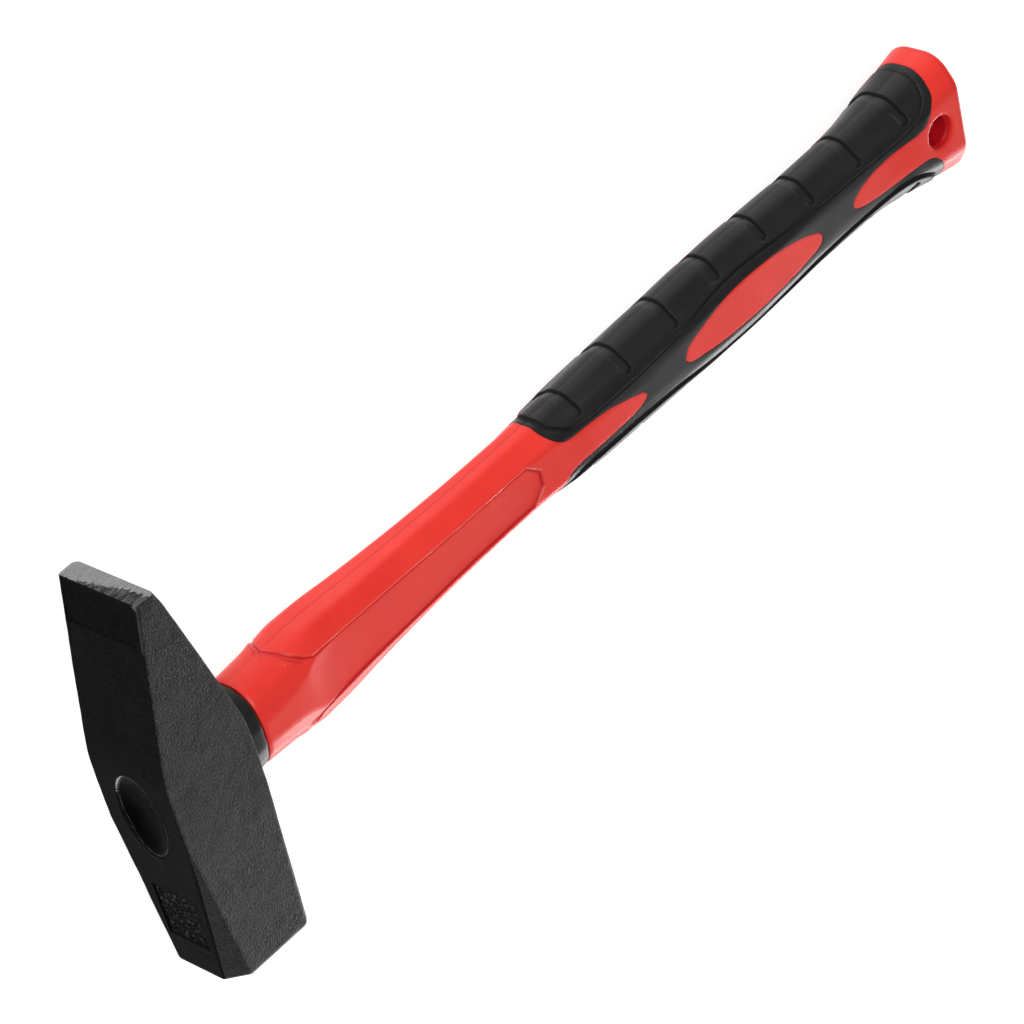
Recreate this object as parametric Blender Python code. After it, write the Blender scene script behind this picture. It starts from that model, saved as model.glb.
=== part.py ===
"""Cross-peen hammer: a forged steel head on a fibreglass-cored, two-component plastic handle.

Frame: +X runs down the handle from the head to the butt, +Y points to the peen, +Z is up.
The hammer lies on its lower cheek, which is at z = 0, and the handle's axis crosses x = y = 0
at the middle of the head's depth. Sizes below are in millimetres; mm() turns them to metres.
"""

from math import atan2, cos, hypot, pi, sin, sqrt

import bmesh
import bpy
from mathutils import Matrix

MM = 0.001
GAP = 0.3  # clearance left between pieces that touch or are bonded

# Head. Positions along the handle are depths below the head's top face.
HEAD_WIDTH = 27.0  # cheek to cheek
HALF_WIDTH = HEAD_WIDTH / 2
FACE_HALF_WIDTH = 12.8
HEAD_MID = 14.2  # depth of the origin below the top face
FACE_Y = -56.0
PEEN_Y = 62.0
FACE_TOP, FACE_BOTTOM = 1.0, 28.2
EYE_TOP, EYE_BOTTOM = 0.0, 28.5
PEEN_TOP, PEEN_BOTTOM = 9.7, 15.1
TOP_BEND_Y, BOTTOM_BEND_Y = 13.6, 11.4
BEND_SOFTNESS = 6.0
BEND_YS = (-1.0, 3.0, 7.0, 9.5, 12.0, 14.5, 17.0, 20.0, 25.0, 34.0)  # sections close up at the bends
CHAMFER_START_Y = -7.3
TOP_CHAMFER, BOTTOM_CHAMFER = 5.1, 1.8  # at the striking face
EDGE_BREAK = 0.3
FACE_BEVEL = 1.5

# Eye: an oval through hole, belled at both mouths, filled with resin around the core.
EYE_Y = -1.6
EYE_HALF_LENGTH, EYE_HALF_WIDTH = 12.3, 6.6
EYE_FLARE = ((-2, 3.4), (0.2, 1.5), (1.0, 0.6), (2.4, 0), (26, 0), (27.5, 0.6), (30.5, 3.0))
RESIN_TOP = 4.0
RESIN_BOTTOM = 26.0

# Recessed marking field on the top face.
FIELD_Y = (-44.0, -27.6)
FIELD_HALF_WIDTH = 6.8
FIELD_DEPTH = 0.6

# Handle.
CORE_RADIUS = 5.2
CORE_START, CORE_END = 7.9, 297.0
COLLAR_TOP, COLLAR_BOTTOM = EYE_BOTTOM + GAP, 34.9
COLLAR_ROUND = 0.8
JACKET_TOP = COLLAR_BOTTOM + GAP
BUTT_END = 321.7
BUTT_FILLET = 1.4
SLEEVE_WALL = 1.8
SLEEVE_START, SLEEVE_END = 145.0, 317.0
PANEL_BAND = (50.0, 146.0)
PANEL_RECESS = 0.5
HOLE_X, HOLE_RADIUS = 312.0, 4.3
HOLE_MOUTH_RADIUS, HOLE_MOUTH_DEPTH, HOLE_MOUTH_HEIGHT = 5.0, 1.6, 6.0
NOTCHES = 8
FIRST_NOTCH, NOTCH_PITCH = 161.5, 20.05
NOTCH_LENGTH, NOTCH_DEPTH, NOTCH_HALF_WIDTH = 3.5, 0.6, 6.0

# Handle sections: depth, half length (Y), half thickness (Z), half width of the narrow flat,
# half length of the broad flat, and the fillet between them.
STATIONS = (
    (34.9, 12.6, 9.6, 1.6, 3.0, 7.0),
    (46, 13.2, 9.4, 2.6, 4.5, 5.0),
    (56, 14.0, 8.8, 3.9, 7.2, 2.6),
    (66, 13.7, 8.3, 3.9, 7.4, 1.8),
    (80, 12.7, 8.0, 3.5, 6.8, 1.6),
    (100, 11.9, 7.8, 2.8, 6.2, 1.6),
    (120, 11.4, 7.6, 2.4, 6.0, 1.8),
    (140, 11.5, 7.7, 1.8, 5.6, 2.6),
    (152, 12.0, 8.4, 1.2, 5.4, 4.0),
    (165, 12.9, 9.3, 0.6, 5.2, 5.6),
    (200, 14.8, 9.7, 0.4, 5.4, 6.0),
    (230, 15.4, 9.8, 0.4, 5.6, 6.0),
    (262, 14.6, 9.4, 0.4, 5.4, 6.0),
    (290, 15.4, 10.0, 0.6, 6.0, 6.0),
    (305, 17.4, 11.4, 1.6, 7.4, 7.4),
    (321.7, 19.2, 12.5, 2.6, 8.6, 8.2),
)

# Edges between the red jacket and the black sleeve on a broad side, as (depth, y).
NECK_EDGE = (
    (147, 30), (147, 10.8), (149.2, 7.6), (154.5, 4.6), (165, 4.4), (176, 2.6),
    (182.2, 0.8), (183, -0.9), (181.5, -2.7), (170, -3.8), (154.5, -4.6),
    (149.2, -7.6), (147, -10.8), (147, -30),
)
WINDOW_EDGE = (
    (199.3, -1.0), (200.6, 1.2), (207, 3.6), (217, 6.0), (228, 6.7), (240, 5.8), (251, 3.4),
    (258.4, 1.0), (260, -1.2), (258.6, -3.4), (250, -4.9), (238, -5.8), (224, -5.8),
    (211, -4.7), (201, -3.1),
)
BUTT_EDGE = (
    (314.5, -30), (313.8, -16), (311, -8.6), (306, -5.0), (297, -4.9), (284, -4.3),
    (276, -3.0), (274.3, -1.0), (275.6, 1.3), (284, 3.9), (297, 4.6), (306, 5.0),
    (311, 8.6), (313.8, 16), (314.5, 30),
)
# Recess in each broad side of the neck.
PANEL_EDGE = (
    (54, 8.6), (75, 7.6), (95, 7.0), (138.4, 6.3), (142.9, 2.4),
    (142.9, -2.4), (138.4, -6.3), (95, -7.0), (75, -7.6), (54, -8.6),
)

ARC_STEPS = 3
LEAST_FILLET = 0.6
RING_STEP = 9.0
BAR_SIDES = 32
OVAL_SIDES = 40
PRISM_HEIGHT = 50.0
OVERSHOOT = 1.5  # how far a cutter stands out of the surface it cuts
RUN_OUT = 5.0  # how far a cutter runs past the end of what it cuts
EDGE_STEPS = 4

for old in list(bpy.data.objects):
    bpy.data.objects.remove(old)

hammer = bpy.data.collections.new("cross_peen_hammer")
cutters = bpy.data.collections.new("cutters")
for group in (hammer, cutters):
    bpy.context.scene.collection.children.link(group)


def mm(depth, y, z):
    """A point given by its depth below the top face, y, and height above the handle's axis."""
    return ((depth - HEAD_MID) * MM, y * MM, (z + HALF_WIDTH) * MM)


def material(name, colour, roughness, metallic=0.0):
    made = bpy.data.materials.new(name)
    made.use_nodes = True
    shader = made.node_tree.nodes["Principled BSDF"]
    shader.inputs["Base Color"].default_value = (*colour, 1)
    shader.inputs["Roughness"].default_value = roughness
    shader.inputs["Metallic"].default_value = metallic
    return made


def add_object(name, mesh, finish=None):
    """Puts a mesh in the scene: as a part when it has a finish, or else as a hidden cutter."""
    made = bpy.data.objects.new(name, mesh)
    if finish:
        hammer.objects.link(made)
        mesh.materials.append(finish)
    else:
        cutters.objects.link(made)
        made.hide_render = True
        made.display_type = "WIRE"
    return made


def cut(piece, cutter, operation="DIFFERENCE"):
    modifier = piece.modifiers.new(operation.lower() + "_" + cutter.name, "BOOLEAN")
    modifier.operation = operation
    modifier.object = cutter
    modifier.solver = "EXACT"


def loft(name, rings, finish=None):
    """A closed solid through rings of points, every ring with the same number of points."""
    shape = bmesh.new()
    rows = [[shape.verts.new(mm(*point)) for point in ring] for ring in rings]
    count = len(rows[0])
    for first, second in zip(rows, rows[1:]):
        for i in range(count):
            j = (i + 1) % count
            shape.faces.new((first[i], first[j], second[j], second[i]))
    shape.faces.new(rows[0])
    shape.faces.new(rows[-1])
    bmesh.ops.recalc_face_normals(shape, faces=shape.faces)
    mesh = bpy.data.meshes.new(name)
    shape.to_mesh(mesh)
    shape.free()
    mesh.shade_smooth()
    mesh.set_sharp_from_angle(angle=pi / 5)
    return add_object(name, mesh, finish)


def prism(name, outlines, height=PRISM_HEIGHT):
    """A cutter: flat outlines in the (depth, y) plane, extruded to both sides of the handle's axis."""
    curve = bpy.data.curves.new(name, "CURVE")
    curve.dimensions = "2D"
    curve.fill_mode = "BOTH"
    curve.extrude = height / 2 * MM
    for points in outlines:
        spline = curve.splines.new("POLY")
        spline.points.add(len(points) - 1)
        spline.use_cyclic_u = True
        for vertex, (depth, y) in zip(spline.points, points):
            vertex.co = ((depth - HEAD_MID) * MM, y * MM, 0, 1)
    holder = bpy.data.objects.new(name, curve)
    cutters.objects.link(holder)
    graph = bpy.context.evaluated_depsgraph_get()
    mesh = bpy.data.meshes.new_from_object(holder.evaluated_get(graph))
    bpy.data.objects.remove(holder)
    shape = bmesh.new()
    shape.from_mesh(mesh)
    bmesh.ops.remove_doubles(shape, verts=shape.verts, dist=1e-6)
    bmesh.ops.recalc_face_normals(shape, faces=shape.faces)
    shape.to_mesh(mesh)
    shape.free()
    made = add_object(name, mesh)
    made.location = (0, 0, HALF_WIDTH * MM)
    return made


def smooth_outline(points, steps=3, closed=True):
    """A Catmull-Rom curve through the points."""
    count = len(points)
    found = []
    for i in range(count if closed else count - 1):
        before, start, end, after = (
            points[(i + k) % count] if closed else points[min(max(i + k, 0), count - 1)]
            for k in (-1, 0, 1, 2)
        )
        for step in range(steps):
            t = step / steps
            found.append(
                tuple(
                    0.5 * (2 * q + (r - p) * t + (2 * p - 5 * q + 4 * r - s) * t**2
                           + (3 * q - p - 3 * r + s) * t**3)
                    for p, q, r, s in zip(before, start, end, after)
                )
            )
    return found if closed else found + [points[-1]]


def moved_right(points, distance):
    """A closed outline moved sideways, to the right of the way it runs."""
    moved = []
    for before, here, after in zip(points[-1:] + points[:-1], points, points[1:] + points[:1]):
        along_x, along_y = after[0] - before[0], after[1] - before[1]
        length = hypot(along_x, along_y)
        moved.append((here[0] + along_y / length * distance, here[1] - along_x / length * distance))
    return moved


def station(depth):
    """The section's measures at a depth, eased between the stations."""
    depth = min(max(depth, STATIONS[0][0]), STATIONS[-1][0])
    index = next(i for i, row in enumerate(STATIONS[1:]) if depth <= row[0])
    rows = [STATIONS[min(max(index + k, 0), len(STATIONS) - 1)] for k in (-1, 0, 1, 2)]
    before, start, end, after = rows
    span = end[0] - start[0]
    t = (depth - start[0]) / span
    measures = []
    for p, q, r, s in zip(before[1:], start[1:], end[1:], after[1:]):
        slope_in = (r - p) / max(end[0] - before[0], span) * span
        slope_out = (s - q) / max(after[0] - start[0], span) * span
        measures.append(
            q * (2 * t**3 - 3 * t**2 + 1) + slope_in * (t**3 - 2 * t**2 + t)
            + r * (3 * t**2 - 2 * t**3) + slope_out * (t**3 - t**2)
        )
    return measures


def handle_ring(depth, inset=0.0):
    """The handle's section at a depth: an octagon with rounded corners, drawn in by inset."""
    half_length, half_thick, narrow, broad, fillet = station(depth)
    fillet = fillet - inset
    shrink = max(LEAST_FILLET - fillet, 0)
    fillet = max(fillet, LEAST_FILLET)
    on_narrow = (half_length - inset - fillet, max(narrow - shrink / 2, 0.3))
    on_broad = (max(broad - shrink / 2, 0.3), half_thick - inset - fillet)
    lean = atan2(on_narrow[0] - on_broad[0], on_broad[1] - on_narrow[1])
    quarter = []
    for centre, low, high in ((on_narrow, 0, lean), (on_broad, lean, pi / 2)):
        for step in range(ARC_STEPS + 1):
            angle = low + (high - low) * step / ARC_STEPS
            quarter.append((centre[0] + fillet * cos(angle), centre[1] + fillet * sin(angle)))
    half = quarter + [(-y, z) for y, z in reversed(quarter)]
    return [(depth, y, z) for y, z in half + [(y, -z) for y, z in reversed(half)]]


def handle_depths(start, end):
    """Depths of the rings of a length of handle, the same ones in every piece of it."""
    shared = [JACKET_TOP + RING_STEP * i for i in range(int((BUTT_END - JACKET_TOP) / RING_STEP) + 1)]
    return [start] + [depth for depth in shared if start + GAP < depth < end - GAP] + [end]


def handle_loft(name, start, end, inset=0.0, finish=None):
    """A length of the handle's form; at the butt its edge is rounded over."""
    straight_end = min(end, BUTT_END - BUTT_FILLET)
    rings = [handle_ring(depth, inset) for depth in handle_depths(start, straight_end)]
    if end > straight_end:
        for step in range(1, EDGE_STEPS + 1):
            angle = pi / 2 * step / EDGE_STEPS
            depth = straight_end + (end - straight_end) * sin(angle)
            rings.append(handle_ring(depth, inset + BUTT_FILLET * (1 - cos(angle))))
    return loft(name, rings, finish)


def head_ring(y):
    """The head's section at y: a rectangle with its four corners cut off."""
    toward_face = min(max((CHAMFER_START_Y - y) / (CHAMFER_START_Y - FACE_Y), 0), 1)
    half_width = HALF_WIDTH + (FACE_HALF_WIDTH - HALF_WIDTH) * toward_face
    top_chamfer = EDGE_BREAK + (TOP_CHAMFER - EDGE_BREAK) * toward_face
    bottom_chamfer = EDGE_BREAK + (BOTTOM_CHAMFER - EDGE_BREAK) * toward_face
    top = edge_depth(y, EYE_TOP, FACE_TOP, PEEN_TOP, TOP_BEND_Y)
    bottom = edge_depth(y, EYE_BOTTOM, FACE_BOTTOM, PEEN_BOTTOM, BOTTOM_BEND_Y)
    corners = (
        (top, half_width - top_chamfer), (top + top_chamfer, half_width),
        (bottom - bottom_chamfer, half_width), (bottom, half_width - bottom_chamfer),
    )
    return [(d, y, z) for d, z in corners] + [(d, y, -z) for d, z in reversed(corners)]


def edge_depth(y, at_eye, at_face, at_peen, bend_y):
    """Depth of the top or bottom edge: nearly level to the bend, then straight to the peen."""
    level = at_eye + (at_face - at_eye) * max(-y, 0) / -FACE_Y
    slope = (at_peen - at_eye) / (PEEN_Y - bend_y)
    past = y - bend_y
    eased = (past + sqrt(past**2 + BEND_SOFTNESS**2 / 4)) / 2
    return level + slope * eased


def oval(depth, half_length, half_width, centre_y):
    angles = [2 * pi * i / OVAL_SIDES for i in range(OVAL_SIDES)]
    return [(depth, centre_y + half_length * cos(a), half_width * sin(a)) for a in angles]


def bar(name, centre, length, radius, axis="X", finish=None):
    """A round bar along X or Z."""
    shape = bmesh.new()
    turn = Matrix.Rotation(pi / 2, 4, "Y") if axis == "X" else Matrix.Identity(4)
    bmesh.ops.create_cone(
        shape, cap_ends=True, segments=BAR_SIDES, radius1=radius * MM, radius2=radius * MM,
        depth=length * MM, matrix=Matrix.Translation(mm(*centre)) @ turn,
    )
    mesh = bpy.data.meshes.new(name)
    shape.to_mesh(mesh)
    shape.free()
    mesh.shade_smooth()
    mesh.set_sharp_from_angle(angle=pi / 5)
    return add_object(name, mesh, finish)


def bar_between(name, start, end, radius, finish=None):
    """A round bar on the handle's axis, between two depths."""
    return bar(name, ((start + end) / 2, 0, 0), end - start, radius, "X", finish)


def eye_rings():
    """The eye's wall, belled out at both mouths."""
    return [
        oval(depth, EYE_HALF_LENGTH + flare, EYE_HALF_WIDTH + flare, EYE_Y)
        for depth, flare in EYE_FLARE
    ]


def make_head():
    finish = material("forged_steel", (0.02, 0.02, 0.021), 0.5, 0.3)
    shrink = 1 - FACE_BEVEL / HALF_WIDTH
    face = [
        (HEAD_MID + (depth - HEAD_MID) * shrink, FACE_Y, z * shrink)
        for depth, _, z in head_ring(FACE_Y)
    ]
    stations = (FACE_Y + FACE_BEVEL, CHAMFER_START_Y, *BEND_YS, PEEN_Y)
    head = loft("head", [face] + [head_ring(y) for y in stations], finish)
    cut(head, loft("eye_cutter", eye_rings()))
    cut(head, marking_field())


def marking_field():
    """A block that sinks a shallow rectangle into the top face, level with the face's slope."""
    low, high = FIELD_Y
    top_low, top_high = [edge_depth(y, EYE_TOP, FACE_TOP, PEEN_TOP, TOP_BEND_Y) for y in FIELD_Y]
    shape = bmesh.new()
    bmesh.ops.create_cube(shape, size=1)
    size = Matrix.Diagonal((4 * FIELD_DEPTH * MM, (high - low) * MM, 2 * FIELD_HALF_WIDTH * MM, 1))
    slope = Matrix.Rotation(atan2(top_low - top_high, high - low), 4, "Z")
    centre = mm((top_low + top_high) / 2 - FIELD_DEPTH, (low + high) / 2, 0)
    shape.transform(Matrix.Translation(centre) @ slope @ size)
    mesh = bpy.data.meshes.new("marking_field")
    shape.to_mesh(mesh)
    shape.free()
    return add_object("marking_field", mesh)


def make_eye_resin():
    finish = material("black_resin", (0.012, 0.012, 0.012), 0.35)
    rings = [
        oval(depth, EYE_HALF_LENGTH - GAP, EYE_HALF_WIDTH - GAP, EYE_Y)
        for depth in (RESIN_TOP, RESIN_BOTTOM)
    ]
    resin = loft("eye_resin", rings, finish)
    bore_end = RESIN_BOTTOM + RUN_OUT
    cut(resin, bar_between("resin_bore", CORE_START - GAP, bore_end, CORE_RADIUS + GAP))


def make_handle_core():
    finish = material("fibreglass", (0.75, 0.72, 0.55), 0.45)
    bar_between("handle_core", CORE_START, CORE_END, CORE_RADIUS, finish)


def make_collar():
    """A ring of the handle's first section, with its two rims rounded."""
    finish = material("black_rubber", (0.015, 0.015, 0.016), 0.45)
    profile = (
        (COLLAR_TOP, 0.5), (COLLAR_TOP + COLLAR_ROUND, 0.0),
        (COLLAR_BOTTOM - COLLAR_ROUND, -0.2), (COLLAR_BOTTOM, 0.2),
    )
    rings = [[(depth, y, z) for _, y, z in handle_ring(JACKET_TOP, inset)] for depth, inset in profile]
    collar = loft("collar", rings, finish)
    start, end = COLLAR_TOP - RUN_OUT, COLLAR_BOTTOM + RUN_OUT
    cut(collar, bar_between("collar_bore", start, end, CORE_RADIUS + GAP))


def sleeve_region(name, margin):
    """Where the sleeve lies, seen from a broad side, with its edges moved out by margin."""
    outer = smooth_outline(NECK_EDGE, closed=False) + smooth_outline(BUTT_EDGE, closed=False)
    window = smooth_outline(WINDOW_EDGE)
    return prism(name, [moved_right(outer, margin), moved_right(window, margin)])


def make_handle_jacket():
    """The whole handle's form, with room for the sleeve, the neck recesses, a bore and a hole."""
    finish = material("red_polypropylene", (0.80, 0.035, 0.02), 0.35)
    jacket = handle_loft("handle_jacket", JACKET_TOP, BUTT_END, finish=finish)
    room = handle_loft("sleeve_room", SLEEVE_START - RUN_OUT, SLEEVE_END, inset=-OVERSHOOT)
    cut(room, sleeve_region("sleeve_room_region", GAP), "INTERSECT")
    cut(room, sleeve_inside("sleeve_room_core", SLEEVE_WALL + GAP))
    cut(jacket, room)
    start, end = PANEL_BAND
    recess = handle_loft("panel_band", start, end, inset=-OVERSHOOT)
    cut(recess, prism("panel_region", [list(PANEL_EDGE)]), "INTERSECT")
    cut(recess, handle_loft("panel_floor", start - RUN_OUT, end + RUN_OUT, inset=PANEL_RECESS))
    cut(jacket, recess)
    bore_start = JACKET_TOP - RUN_OUT
    cut(jacket, bar_between("jacket_bore", bore_start, CORE_END + GAP, CORE_RADIUS + GAP))
    cut_hanging_hole(jacket)


def cut_hanging_hole(jacket):
    """A through bore with a wider mouth on each broad side."""
    half = station(HOLE_X)[1]
    cut(jacket, bar("hanging_hole", (HOLE_X, 0, 0), PRISM_HEIGHT, HOLE_RADIUS, "Z"))
    for name, side in (("hole_mouth_upper", 1), ("hole_mouth_lower", -1)):
        centre = (HOLE_X, 0, side * (half - HOLE_MOUTH_DEPTH + HOLE_MOUTH_HEIGHT / 2))
        cut(jacket, bar(name, centre, HOLE_MOUTH_HEIGHT, HOLE_MOUTH_RADIUS, "Z"))


def sleeve_inside(name, inset):
    """The handle's form under the sleeve, drawn in by inset."""
    return handle_loft(name, SLEEVE_START - 2 * RUN_OUT, BUTT_END - BUTT_FILLET + GAP, inset=inset)


def make_grip_sleeve():
    finish = material("black_tpr", (0.018, 0.018, 0.019), 0.55)
    sleeve = handle_loft("grip_sleeve", SLEEVE_START, SLEEVE_END, finish=finish)
    cut(sleeve, sleeve_region("sleeve_outline", 0), "INTERSECT")
    cut(sleeve, sleeve_inside("sleeve_bore", SLEEVE_WALL))
    for index in range(NOTCHES):
        cut(sleeve, notch_pair(f"notch_{index + 1}", FIRST_NOTCH + index * NOTCH_PITCH))


def notch_pair(name, wall):
    """A wedge across each narrow side, deepest at the wall toward the butt."""
    half = station(wall)[0]
    start = wall - NOTCH_LENGTH
    wedge = [(start, half), (start, half + 4), (wall, half + 4), (wall, half - NOTCH_DEPTH)]
    return prism(name, [wedge, [(depth, -y) for depth, y in wedge]], 2 * NOTCH_HALF_WIDTH)


make_head()
make_eye_resin()
make_handle_core()
make_collar()
make_handle_jacket()
make_grip_sleeve()
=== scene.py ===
"""Looks of a cross-peen hammer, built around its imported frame.

Lengths below are in millimetres: depth runs from the head's top face down the handle (+X),
y runs from the striking face to the peen, and z is the height above the handle's axis.
in_frame() turns such points to metres in the frame that the CAD uses.
"""

from math import atan2, pi

import bmesh
import bpy
import numpy as np
from mathutils import Matrix, Vector, noise


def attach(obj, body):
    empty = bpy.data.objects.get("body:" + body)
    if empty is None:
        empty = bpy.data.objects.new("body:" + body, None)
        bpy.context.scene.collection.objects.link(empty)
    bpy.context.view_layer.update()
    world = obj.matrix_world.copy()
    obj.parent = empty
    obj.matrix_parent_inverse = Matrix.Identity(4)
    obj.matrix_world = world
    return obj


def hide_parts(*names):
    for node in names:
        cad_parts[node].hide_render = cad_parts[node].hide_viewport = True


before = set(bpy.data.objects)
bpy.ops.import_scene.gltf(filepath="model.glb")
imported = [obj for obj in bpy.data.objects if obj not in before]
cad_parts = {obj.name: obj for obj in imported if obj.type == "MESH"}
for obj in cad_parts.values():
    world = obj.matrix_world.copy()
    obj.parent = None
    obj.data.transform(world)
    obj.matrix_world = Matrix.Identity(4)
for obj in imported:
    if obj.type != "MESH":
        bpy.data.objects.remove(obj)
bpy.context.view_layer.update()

MM = 0.001
# The frame's origin lies at this depth, and the handle's axis lies this high over the floor.
HEAD_MID = 14.2
HALF_WIDTH = 13.5
SHARP_ANGLE = 35  # degrees; steeper edges are drawn sharp

# -------------------- handle measures

JACKET_TOP = 35.2
BUTT_END, BUTT_FILLET, BUTT_BULGE = 322.0, 1.4, 0.15
COLLAR_TOP, COLLAR_END = 28.85, 34.85
SLEEVE_WALL = 1.8
BORE_RADIUS, BORE_END = 5.5, 297.3
STEP_HEIGHT = 0.5
SEAM_DEPTH, SEAM_WIDTH = 0.11, 0.2
PANEL_FOOT, PANEL_RISE, PANEL_SWELL = -0.22, 0.30, 0.10
# The neck's raised shoulders: where they start at each y, and the depths that bound them.
SHOULDER_Y = (0, 4, 8, 9.4, 12, 13.5)
SHOULDER_DEPTH = (50.5, 51.2, 53.5, 48.4, 45, 43.5)
SHOULDER_FRONT, NECK_START, NECK_END = 58, 50, 145
BORDER_GAP = 0.04
HOLE = (312.0, 0.2)  # depth and y of its middle
HOLE_MOUTH, HOLE_BORE, HOLE_LEDGE = 5.0, 4.3, 1.5
FIRST_NOTCH, NOTCH_PITCH, NOTCH_WIDTH, NOTCH_DEPTH = 161.5, 20.05, 3.6, 0.55
NOTCH_ENDS = (8.0, 8.1, 8.8, 10.5, 10.2, 8.7, 8.2, 9.4)  # y at each notch's closed end

# Depth, half length in y, half thickness in z, half widths of the narrow and broad flats, fillet.
STATIONS = np.array([
    (34.9, 12.6, 9.6, 0.6, 2.0, 8.5),
    (46, 13.2, 9.4, 1.2, 3.0, 7.4),
    (52, 13.7, 9.1, 2.0, 4.5, 6.1),
    (56, 14.0, 8.8, 2.9, 6.6, 4.5),
    (60, 13.9, 8.6, 3.6, 7.2, 2.7),
    (66, 13.7, 8.3, 3.9, 7.4, 1.8),
    (80, 12.7, 8.0, 3.5, 6.8, 1.6),
    (100, 11.9, 7.8, 2.8, 6.2, 1.6),
    (120, 11.4, 7.6, 2.4, 6.0, 1.8),
    (140, 11.5, 7.7, 1.8, 5.6, 2.6),
    (152, 12.0, 8.4, 1.2, 5.4, 4.0),
    (165, 12.9, 9.3, 0.6, 5.2, 5.6),
    (200, 14.8, 9.7, 0.4, 5.4, 6.0),
    (230, 15.4, 9.8, 0.4, 5.6, 6.0),
    (262, 14.6, 9.4, 0.4, 5.4, 6.0),
    (290, 15.2, 10.0, 0.6, 6.0, 6.0),
    (305, 17.0, 11.4, 1.6, 7.2, 7.6),
    (322, 19.4, 12.6, 2.4, 8.2, 8.8),
])
# Outlines on a broad side, as (depth, y). An end at y = OFF runs on round the narrow side.
OFF = 40
NECK_EDGE = (
    (147, OFF), (147, 13), (148, 9), (151, 5.9), (155, 4.6), (162, 4.6), (169.6, 3.9), (175.2, 2.5),
    (179.8, 1.2), (182.6, 0.1), (182.8, -1.8), (178, -3.3), (170, -3.7), (162, -4.0), (155, -4.5),
    (151, -5.9), (148, -9), (147, -13), (147, -OFF),
)
BUTT_EDGE = (
    (314.6, -OFF), (314.3, -20), (313.2, -15.7), (312.2, -11.6), (310.2, -7.9), (306.7, -5.3),
    (300, -4.8), (291, -4.8), (282, -4.0), (276.4, -2.8), (274.3, -1.1), (276, 1.3), (281.8, 3.5),
    (289, 4.4), (297, 4.6), (304, 4.6), (307.8, 6.0), (310.4, 9.6), (312.4, 12.5), (313.4, 16.5),
    (314.3, 20), (314.6, OFF),
)
WINDOW_EDGE = (
    (199.4, -1.3), (201.5, 1.6), (206.6, 3.5), (212.5, 5.1), (219, 6.3), (226, 6.7), (233, 6.5),
    (240.4, 5.8), (248.4, 4.2), (255, 2.2), (259.6, -0.2), (258.8, -3.3), (252, -4.7), (243.4, -5.4),
    (234, -5.8), (224.3, -5.7), (214.9, -5.2), (207, -4.1), (201.5, -3.1),
)
# One half of two outlines that are alike on both sides of y = 0.
PANEL_EDGE = (
    (149.3, OFF), (149.4, 14), (149.9, 10.8), (152.5, 8.7), (156, 7.1), (161.6, 6.4), (169.5, 6.3),
    (179.4, 6.3), (189.2, 6.7), (198, 7.3), (206, 8.3), (214, 9.2), (222, 9.7), (230, 9.7),
    (238, 9.2), (247, 8.5), (257, 7.8), (269, 7.3), (282.8, 7.1), (292.5, 7.2), (299.5, 7.8),
    (304.5, 9.6), (308.3, 12.3), (310.3, 15.5), (311.5, 19), (311.6, OFF),
)
CHANNEL_EDGE = (
    (47.8, OFF), (47.8, 13.45), (48.8, 13.3), (51, 11.7), (53.9, 9.4), (56.1, 8.4), (74, 7.6),
    (94, 7.0), (114, 6.4), (138.4, 6.3), (142.9, 2.4),
)

# -------------------- head measures

FACE_Y, PEEN_Y = -56.0, 62.0
FACE_HALF_WIDTH = 12.8
FACE_TOP, FACE_BOTTOM = 1.0, 28.2
EYE_TOP, EYE_BOTTOM = 0.0, 28.5
PEEN_TOP, PEEN_BOTTOM = 9.7, 15.5
TOP_BEND_Y, BOTTOM_BEND_Y, BEND_SOFTNESS = 13.6, 11.4, 6.0
CHAMFER_START_Y, EDGE_BREAK = -7.3, 0.25
FACE_ROUND, PEEN_ROUND, FACE_CROWN = 2.1, 0.35, 0.5
PEEN_CORNER, PEEN_CORNER_RUN = 0.9, 5.0  # how much more the peen's lower corners are cut
LAND_MIDDLE, LAND_HALF = (PEEN_TOP + PEEN_BOTTOM) / 2, (PEEN_BOTTOM - PEEN_TOP) / 2
FACE_LEAN = 0.03  # the striking face's lower edge stands forward of its upper one
TOP_CHAMFER, BOTTOM_CHAMFER = 5.1, 1.8  # at the striking face
CORNER_ROUND = 0.55
EYE_Y, EYE_HALF_LENGTH, EYE_HALF_WIDTH = -2.1, 12.6, 7.1
GAP_ANGLE, GAP_SPREAD = 1.95, 0.28  # where the resin stands off the eye's lower wall
EYE_MOUTH = 0.3  # how far the mouth's rolled edge stands out of the eye's wall
RESIN_RIM, RESIN_DISH, RESIN_BOTTOM, RESIN_GROW = 0.3, 2.3, 26.0, 0.27
CORE_TOP = 7.6  # the depth that the resin reaches down to over the handle's core
# Outlines on the top face, as (y, z).
FIELD = ((-44.5, -7.0), (-44.5, 7.3), (-29.6, 7.3), (-27.4, 5.6), (-27.4, -7.0))
FIELD_DEPTH = 0.52
PATCH_Y, PATCH_DEPTH = 49.8, 0.2
GROUND_PATCH = (
    (PATCH_Y, -OFF), (PATCH_Y, 8.5), (50.4, 11.0), (52.0, 12.6), (80, 12.9), (80, -OFF),
)
# Where the head's rows lie close together: by the marking field, the eye and the ground patch.
FINE_Y = ((-45.6, -26.4), (-16.5, 13.5), (48.5, PEEN_Y))
# Places of the head's materials in its list.
CHEEK, TOP, PATCH, GROUND = 0, 1, 2, 3


def in_frame(points):
    """Millimetres from the head's top face, as metres in the frame."""
    return (np.asarray(points, float) + (-HEAD_MID, 0.0, HALF_WIDTH)) * MM


def smooth(x):
    """A soft step from 0 at x = 0 to 1 at x = 1."""
    x = np.clip(x, 0, 1)
    return x * x * (3 - 2 * x)


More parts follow.
